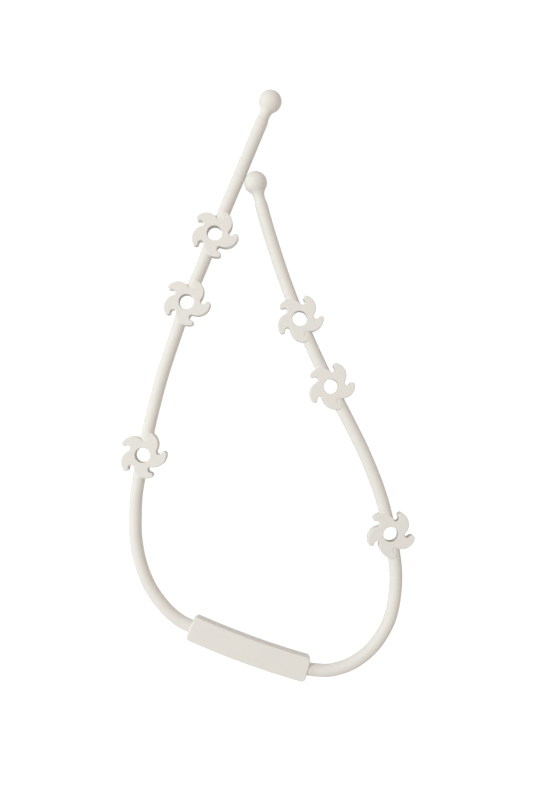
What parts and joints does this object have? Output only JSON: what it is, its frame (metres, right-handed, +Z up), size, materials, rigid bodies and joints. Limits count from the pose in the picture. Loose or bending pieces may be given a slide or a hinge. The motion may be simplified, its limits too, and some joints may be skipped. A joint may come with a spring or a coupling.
{
  "type": "silicone tether strap",
  "caption": "Flexible silicone strap lying in a teardrop loop: round cord with a ball at each end, hooked-petal eyelets that the balls push through, and a flat plate in the middle.",
  "frame": {"origin": "the middle of the strap's outline on the surface that it lies on", "axes": "+Y from the plate towards the ball ends, +Z up from the surface, +X to the right in the picture"},
  "size_m": [0.1314, 0.2644, 0.0103],
  "materials": {
    "silicone": "matte moulded silicone, warm off-white"
  },
  "bodies": {
    "plate": {"plate": "silicone", "left_lower_cord_inner": "silicone", "right_lower_cord_inner": "silicone"},
    "left_lower_arm": {"left_lower_cord_outer": "silicone", "left_lower_eyelet": "silicone", "left_middle_cord_inner": "silicone"},
    "left_middle_arm": {"left_middle_cord_outer": "silicone", "left_middle_eyelet": "silicone"},
    "left_upper_arm": {"left_upper_cord": "silicone", "left_upper_eyelet": "silicone"},
    "left_tail_1": {"left_tail_link_1": "silicone"},
    "left_tail_2": {"left_tail_link_2": "silicone"},
    "left_tail_3": {"left_tail_link_3": "silicone"},
    "left_tail_4": {"left_tail_link_4": "silicone"},
    "left_tail_5": {"left_tail_link_5": "silicone"},
    "left_ball": {"left_ball_end": "silicone"},
    "right_lower_arm": {"right_lower_cord_outer": "silicone", "right_lower_eyelet": "silicone", "right_middle_cord_inner": "silicone"},
    "right_middle_arm": {"right_middle_cord_outer": "silicone", "right_middle_eyelet": "silicone"},
    "right_upper_arm": {"right_upper_cord": "silicone", "right_upper_eyelet": "silicone"},
    "right_tail_1": {"right_tail_link_1": "silicone"},
    "right_tail_2": {"right_tail_link_2": "silicone"},
    "right_tail_3": {"right_tail_link_3": "silicone"},
    "right_tail_4": {"right_tail_link_4": "silicone"},
    "right_tail_5": {"right_tail_link_5": "silicone"},
    "right_ball": {"right_ball_end": "silicone"}
  },
  "joints": [
    {"name": "left_lower_bend", "type": "hinge", "parent": "plate", "child": "left_lower_arm", "pos_m": [-0.05709, -0.07979, 0.0031], "axis": [0, 0, 1], "range_deg": [0, 45], "stiffness_Nm_per_rad": 0.0015},
    {"name": "left_middle_bend", "type": "hinge", "parent": "left_lower_arm", "child": "left_middle_arm", "pos_m": [-0.04765, 0.00354, 0.0031], "axis": [0, 0, 1], "range_deg": [0, 45], "stiffness_Nm_per_rad": 0.002},
    {"name": "left_upper_bend", "type": "hinge", "parent": "left_middle_arm", "child": "left_upper_arm", "pos_m": [-0.02993, 0.05272, 0.0031], "axis": [0, 0, 1], "range_deg": [0, 40], "stiffness_Nm_per_rad": 0.008},
    {"name": "left_tail_curl", "type": "hinge", "parent": "left_upper_arm", "child": "left_tail_1", "pos_m": [-0.01733, 0.08327, 0.0031], "axis": [0.9213, -0.3888, 0], "range_deg": [0, 38], "stiffness_Nm_per_rad": 0.01},
    {"name": "left_tail_curl_2", "type": "hinge", "parent": "left_tail_1", "child": "left_tail_2", "pos_m": [-0.0145, 0.08996, 0.00341], "axis": [0.9213, -0.3888, 0], "range_deg": [0, 38], "stiffness_Nm_per_rad": 0.01},
    {"name": "left_tail_curl_3", "type": "hinge", "parent": "left_tail_2", "child": "left_tail_3", "pos_m": [-0.01168, 0.09665, 0.00373], "axis": [0.9213, -0.3888, 0], "range_deg": [0, 38], "stiffness_Nm_per_rad": 0.01},
    {"name": "left_tail_curl_4", "type": "hinge", "parent": "left_tail_3", "child": "left_tail_4", "pos_m": [-0.00885, 0.10334, 0.00404], "axis": [0.9213, -0.3888, 0], "range_deg": [0, 38], "stiffness_Nm_per_rad": 0.01},
    {"name": "left_tail_curl_5", "type": "hinge", "parent": "left_tail_4", "child": "left_tail_5", "pos_m": [-0.00602, 0.11002, 0.00435], "axis": [0.9213, -0.3888, 0], "range_deg": [0, 38], "stiffness_Nm_per_rad": 0.01},
    {"name": "left_tail_curl_6", "type": "hinge", "parent": "left_tail_5", "child": "left_ball", "pos_m": [-0.00319, 0.11671, 0.00466], "axis": [0.9213, -0.3888, 0], "range_deg": [0, 38], "stiffness_Nm_per_rad": 0.01},
    {"name": "right_lower_bend", "type": "hinge", "parent": "plate", "child": "right_lower_arm", "pos_m": [0.05027, -0.11378, 0.0031], "axis": [0, 0, -1], "range_deg": [0, 45], "stiffness_Nm_per_rad": 0.0015},
    {"name": "right_middle_bend", "type": "hinge", "parent": "right_lower_arm", "child": "right_middle_arm", "pos_m": [0.04438, -0.03253, 0.0031], "axis": [0, 0, -1], "range_deg": [0, 45], "stiffness_Nm_per_rad": 0.002},
    {"name": "right_upper_bend", "type": "hinge", "parent": "right_middle_arm", "child": "right_upper_arm", "pos_m": [0.02115, 0.01458, 0.0031], "axis": [0, 0, -1], "range_deg": [0, 40], "stiffness_Nm_per_rad": 0.008},
    {"name": "right_tail_curl", "type": "hinge", "parent": "right_upper_arm", "child": "right_tail_1", "pos_m": [0.00846, 0.04518, 0.0031], "axis": [0.9513, 0.3082, 0], "range_deg": [0, 38], "stiffness_Nm_per_rad": 0.01},
    {"name": "right_tail_curl_2", "type": "hinge", "parent": "right_tail_1", "child": "right_tail_2", "pos_m": [0.00602, 0.05202, 0.00341], "axis": [0.9513, 0.3082, 0], "range_deg": [0, 38], "stiffness_Nm_per_rad": 0.01},
    {"name": "right_tail_curl_3", "type": "hinge", "parent": "right_tail_2", "child": "right_tail_3", "pos_m": [0.00372, 0.0589, 0.00373], "axis": [0.9513, 0.3082, 0], "range_deg": [0, 38], "stiffness_Nm_per_rad": 0.01},
    {"name": "right_tail_curl_4", "type": "hinge", "parent": "right_tail_3", "child": "right_tail_4", "pos_m": [0.00152, 0.06582, 0.00404], "axis": [0.9513, 0.3082, 0], "range_deg": [0, 38], "stiffness_Nm_per_rad": 0.01},
    {"name": "right_tail_curl_5", "type": "hinge", "parent": "right_tail_4", "child": "right_tail_5", "pos_m": [-0.00059, 0.07277, 0.00435], "axis": [0.9513, 0.3082, 0], "range_deg": [0, 38], "stiffness_Nm_per_rad": 0.01},
    {"name": "right_tail_curl_6", "type": "hinge", "parent": "right_tail_5", "child": "right_ball", "pos_m": [-0.00256, 0.07976, 0.00466], "axis": [0.9513, 0.3082, 0], "range_deg": [0, 38], "stiffness_Nm_per_rad": 0.01}
  ],
  "couplings": [
    {"joint": "left_tail_curl_2", "follows": "left_tail_curl", "ratio": 1},
    {"joint": "left_tail_curl_3", "follows": "left_tail_curl", "ratio": 1},
    {"joint": "left_tail_curl_4", "follows": "left_tail_curl", "ratio": 1},
    {"joint": "left_tail_curl_5", "follows": "left_tail_curl", "ratio": 1},
    {"joint": "left_tail_curl_6", "follows": "left_tail_curl", "ratio": 1},
    {"joint": "right_tail_curl_2", "follows": "right_tail_curl", "ratio": 1},
    {"joint": "right_tail_curl_3", "follows": "right_tail_curl", "ratio": 1},
    {"joint": "right_tail_curl_4", "follows": "right_tail_curl", "ratio": 1},
    {"joint": "right_tail_curl_5", "follows": "right_tail_curl", "ratio": 1},
    {"joint": "right_tail_curl_6", "follows": "right_tail_curl", "ratio": 1}
  ]
}
